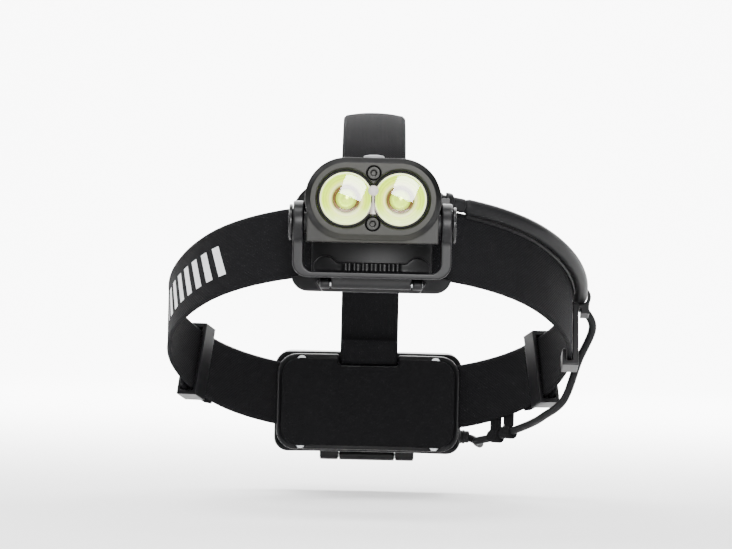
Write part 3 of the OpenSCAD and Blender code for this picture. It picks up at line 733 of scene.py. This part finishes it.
def sleeve():
    """The thick sleeve on the band's edge, and the flange that holds it there."""
    run = [front_at(SLEEVE_START + 34.3 * i / 20, CABLE_D, CABLE_Z) for i in range(20)]
    run += [side_at(-29.7 + 33.1 * i / 30, CABLE_D, CABLE_Z) for i in range(31)]

    def taper(t):
        return 1 - 0.25 * max(0, 1 - t / 0.012) ** 2 - 0.3 * max(0, (t - 0.985) / 0.015) ** 2

    show(tube_mesh("cable_sleeve_skin", run, SLEEVE_R, jacket, 28, taper), "headgear",
         "cable_sleeve")
    section = strip_section(1.68, 0.9, 0.0, 6)
    runs = [R1 * math.radians(28 + 32.3 * i / 24) for i in range(25)]
    runs += [side_s(-29.6 + 25.4 * i / 24) for i in range(25)]
    rings = [[band_point(s, 2.1 + h, 12.1 + w) for w, h in section] for s in runs]
    flange = sweep("sleeve_flange", rings, [[(0, 0)] * len(section)] * len(rings), jacket, closed=False)
    show(flange, "headgear", "cable_sleeve")


def leads():
    """The lead from the lamp to the sleeve, in two straight pieces that are put on no body, and the thin lead
    to the battery.
    """
    guide, boot, start = lead_at(27.3), lead_at(16.2), front_at(SLEEVE_START, CABLE_D, CABLE_Z)
    for node, a, b, steps, radius, bodies in (
            ("lamp_lead", boot, guide, 16, LAMP_LEAD_R, ("lamp", "bracket")),
            ("band_lead", guide, start, 12, BAND_LEAD_R, ("bracket", "headgear"))):
        points = [a.lerp(b, i / steps) for i in range(steps + 1)]
        piece = tube_mesh(node + "_skin", points, radius, jacket, 24)
        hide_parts(node)
        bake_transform(piece)
    end = side_at(SLEEVE_END, CABLE_D, CABLE_Z)
    stops = [end, end + Vector((1.9, 3.4, -2.8)), (89.2, 17, 1), (84.4, 26, -12.5), (79.2, 33.5, -28.5),
             side_at(22.5, 2.6, LEAD_Z), side_at(27.5, 2.6, LEAD_Z)]
    stops += [rear_at(a, 2, LEAD_Z) for a in (55, 49, 43, 38)]
    stops += [(47.2, 91.6, -49.6), (43.6, 98.3, -47.6), (37, 98.5, -47)]
    thin = tube_mesh("battery_lead_skin", spline(stops, 12)[:-10], BATTERY_LEAD_R, jacket, 20)
    show(thin, "headgear", "battery_lead")


def glands():
    """The ribbed boot on the lamp and the plug on the battery box."""
    boot = [(0, 0), (3.2, 0), (3.2, 2.4)]
    for i in range(4):
        h = 2.6 + i * 1.35
        boot += [(2.95, h), (2.8, h + 0.2), (2.8, h + 0.7), (3.1, h + 0.95), (3.1, h + 1.2)]
    boot += [(2.9, 8.3), (0, 8.35)]
    a, b = lead_at(9.5), lead_at(16.6)
    show(lathe("lamp_gland", boot, a, b - a, rubber, 40), "lamp", "cable_gland")
    plug = [(0, 0), (3, 0), (3, 4.2), (2.7, 4.4), (2.7, 5.0), (2.9, 5.2), (2.9, 5.8), (2.5, 6.1),
            (2.5, 6.7), (2.6, 7.0), (2.3, 7.8), (1.7, 8.0), (0, 8.0)]
    show(lathe("battery_gland", plug, TRAY_GLAND, (1, 0, 0), rubber, 36), "headgear",
         "tray_gland")


# ---------------------------------------------------------------- lamp front
def lens_side(side, sign):
    """One bowl of the lens with its emitter, face and seal; profiles are (radius, distance forward)."""
    centre = Vector((sign * LENS_X, 0, LENS_Z))
    core_r, dome_r, bowl_r, face_r = 5.0, 3.8, 9.4, 9.3
    bowl_steps, face_steps, ripples = 48, 12, 4
    flare = [(core_r - 0.05, 117.0)]
    for i in range(bowl_steps + 1):
        t = i / bowl_steps
        step = 0.16 * math.sin(2 * math.pi * ripples * t) * math.sin(math.pi * t)
        flare.append((core_r + (bowl_r - core_r) * t ** 0.85, -BOWL_FLOOR_Y + 7.3 * t + step))
    rim = [(bowl_r, 125.4), (9.66, 125.7), (9.66, 126.3), (9.45, 126.55), (9.2, 126.5), (9.1, 126.1)]
    core = [(core_r, 117.0), (core_r, 119.6), (4.75, 120.2), (4.3, 120.35), (3.95, 119.9),
            (dome_r, 118.2), (3.7, 117)]
    dome = [(dome_r, 118.2), (3.7, 119.0), (3.3, 119.9), (2.4, 120.6), (1.2, 121.0), (0, 121.1)]
    face = [(9.5, 126.45)]
    for i in range(face_steps + 1):
        r = face_r * (1 - i / face_steps)
        face.append((r, 126.6 + 0.75 * (1 - (r / face_r) ** 2)))
    seal = [(10.66, 123.3), (10.66, 126.75), (10.45, 126.95), (10.0, 126.95), (9.78, 126.7),
            (9.72, 125.2), (9.72, 123.3)]
    for name, turned, mat, slot, node in (
            ("lens_bowl", flare, bowl, "clear_optic", "twin_lens"),
            ("lens_rim", rim, rim_look, "clear_optic", "twin_lens"),
            ("lens_core", core, gold_look, "clear_optic", "twin_lens"),
            ("lens_dome", dome, dome_look, "clear_optic", "twin_lens"),
            ("lens_face", face, clear, "clear_optic", "twin_lens"),
            ("lens_seal", seal, rubber, "black_rubber", "lens_gasket")):
        show(lathe(name + "_" + side, turned, centre, (0, -1, 0), mat, 96), "lamp", node)


def lens_saddle():
    """The ridge that joins the two bowls."""
    rows, low, tall, mouth_r = 12, -5.5, 8.0, 9.72
    verts, faces = [], []
    for i in range(rows + 1):
        z = low + tall * i / rows
        half = max(0.85, 10.25 - math.sqrt(mouth_r ** 2 - z * z))
        for x, y in ((-half, -126.6), (0, -127.3), (half, -126.6)):
            verts.append(Vector((x, y, LENS_Z + z)))
    for i in range(rows):
        for j in range(2):
            a = i * 3 + j
            faces.append((a, a + 1, a + 4, a + 3))
    show(mesh_object("lens_saddle", verts, faces, saddle_look), "lamp", "twin_lens")


def lamp_front():
    """The lens, the status light between its bowls and the button on top of the lamp."""
    lens_side("left", -1)
    lens_side("right", 1)
    lens_saddle()
    led = [(0, 128.3)]
    for i in range(1, 9):
        a = math.radians(90 * i / 8)
        led.append((STATUS_R * math.sin(a), 127.3 + math.cos(a)))
    led += [(STATUS_R, 124.0), (0, 124.0)]
    light = lathe("status_light", led, (0, 0, LENS_Z + STATUS_UP), (0, -1, 0), milky, 40)
    show(light, "lamp", "indicator_led")
    cap = [(0, 64.38), (1.6, 64.34), (2.3, 64.22), (2.6, 64.05), (3.0, 64.12), (3.5, 63.98), (3.78, 63.7),
           (3.8, 63.3), (3.8, 60.9), (4.8, 60.85), (4.8, 60.05), (0, 60.0)]
    button = lathe("power_button_cap", cap, (0, -115, 0), (0, 0, 1), button_rubber, 64)
    show(button, "button", "power_button")


# ---------------------------------------------------------------- build
headband()
top_strap()
sleeve()
leads()
glands()
lamp_front()
for skin in (("front_bezel", "lamp", bezel_metal, "bezel_olive", 0.2, 2),
             ("lamp_housing", "lamp", body_metal, "anodised_black", 0.4, 3),
             ("bezel_screws", "lamp", black_steel, "anodised_black", 0.13, 1),
             ("pivot_screws", "lamp", smooth_plastic, "moulded_black", 0.3, 4),
             ("bracket_yoke", "bracket", plastic, "moulded_black", 0.36, 7),
             ("base_plate", "headgear", plastic, "moulded_black", 0.42, 6),
             ("forehead_pad", "headgear", foam, "pad_foam", 0.6, 14),
             ("rear_pad", "headgear", foam, "pad_foam", 0.6, 14),
             ("rear_cradle", "headgear", plastic, "moulded_black", 0.5, 6),
             ("battery_tray", "headgear", plastic, "moulded_black", 0.55, 5),
             ("battery_lid", "lid", plastic, "moulded_black", 0.5, 5),
             ("side_clip", "clip", plastic, "moulded_black", 0.24, 4),
             ("band_slider_left", "slider_left", plastic, "moulded_black", 0.24, 3),
             ("band_slider_right", "slider_right", plastic, "moulded_black", 0.24, 3),
             ("top_slider", "slider_top", plastic, "moulded_black", 0.35, 6),
             ("lead_loops", "headgear", foam, "webbing", 0.25, 5)):
    moulded(*skin)

# CAD nodes that show as they are take a look by their material slot.
finishes = {"steel_screw": steel, "nickel": steel, "black_rubber": rubber, "moulded_black": plastic,
            "phosphor": phosphor, "cable_jacket": jacket, "anodised_black": body_metal,
            "cell_wrap": moulded_look("cell_wrap_film", (0.012, 0.045, 0.17), 0.3, depth=0.01),
            "seal_red": moulded_look("seal_silicone", (0.13, 0.014, 0.010), 0.5, depth=0.02),
            "green_board": moulded_look("board_mask", (0.006, 0.075, 0.022), 0.3, depth=0.01),
            "white_board": moulded_look("board_white", (0.42, 0.42, 0.40), 0.4, depth=0.01),
            "chip_black": moulded_look("chip_resin", (0.009, 0.009, 0.010), 0.5, depth=0.01)}
slots = {part["node"]: part["material_slot"] for part in frame["record"]["subparts"]}
for name, node in frame["nodes"].items():
    if slots.get(name) in finishes:
        node.data.materials.clear()
        node.data.materials.append(finishes[slots[name]])

# ---------------------------------------------------------------- stage, light and camera, in metres
def sweep_stage():
    """A floor that rises to a wall behind the object through a round bend."""
    low = first_bounds[0][2] - 0.013
    half_wide, front, back, rise, bend, bend_steps = 3.0, -3.0, 2.6, 3.0, 0.8, 12
    line = [(front, low), (back - bend, low)]
    for i in range(1, bend_steps + 1):
        a = math.radians(90 * i / bend_steps)
        line.append((back - bend + bend * math.sin(a), low + bend * (1 - math.cos(a))))
    line.append((back, low + rise))
    verts = [Vector((x, y, z)) / MM for y, z in line for x in (-half_wide, half_wide)]
    faces = [(2 * i, 2 * i + 1, 2 * i + 3, 2 * i + 2) for i in range(len(line) - 1)]
    mesh_object("floor", verts, faces, paper_look())


def softbox(name, place_at, look_at, wide, high, power, roll=0.0):
    """A rectangular area light at place_at, aimed at look_at and rolled about its own axis, in degrees."""
    data = bpy.data.lights.new(name, "AREA")
    data.shape = "RECTANGLE"
    data.size, data.size_y, data.energy = wide, high, power
    obj = bpy.data.objects.new(name, data)
    bpy.context.scene.collection.objects.link(obj)
    obj.location = place_at
    aim = (Vector(look_at) - Vector(place_at)).to_track_quat("-Z", "Y")
    obj.rotation_euler = (aim @ Quaternion((0, 0, 1), math.radians(roll))).to_euler()


def studio(strength):
    """An even white world light of this strength."""
    world = bpy.data.worlds.new("studio")
    bpy.context.scene.world = world
    world.use_nodes = True
    background = world.node_tree.nodes["Background"]
    background.inputs["Color"].default_value = (1, 1, 1, 1)
    background.inputs["Strength"].default_value = strength


def photo_camera(distance, lens):
    """A camera square on to the lamp's lens plane, a little low and rolled, as in the photo."""
    lens_plane_y, roll = -0.128, -1.3
    camera = bpy.data.cameras.new("camera")
    camera.sensor_width, camera.lens = 36, lens
    camera.clip_start, camera.clip_end = 0.05, 20
    eye = bpy.data.objects.new("camera", camera)
    bpy.context.scene.collection.objects.link(eye)
    eye.location = (-0.0020, lens_plane_y - distance, 0.0203)
    eye.rotation_euler = Euler((math.radians(90), math.radians(roll), 0))
    bpy.context.scene.camera = eye


sweep_stage()
softbox("lens_box", (0.12, -1.19, 0.30), (0, -0.128, 0.048), 0.34, 0.46, 17, -22)
softbox("key_box", (-0.35, -1.0, 1.0), (0, -0.1, 0.03), 0.8, 0.5, 5)
softbox("fill_box", (0.95, -0.85, 0.4), (0, -0.05, 0.02), 0.3, 0.8, 3)
softbox("floor_wash", (0, -0.5, 1.1), (0, -0.45, -0.06), 0.9, 0.35, 14)
softbox("back_wash", (0, 1.1, 1.3), (0, 2.3, 0.3), 2.6, 1.2, 330)
softbox("floor_back", (0, 0.75, 1.2), (0, 0.6, -0.07), 1.8, 0.9, 30)
softbox("rim_left", (-0.8, 0.35, 0.7), (0, 0, 0.03), 0.5, 0.5, 8)
studio(0.3)
photo_camera(1.484, 200)
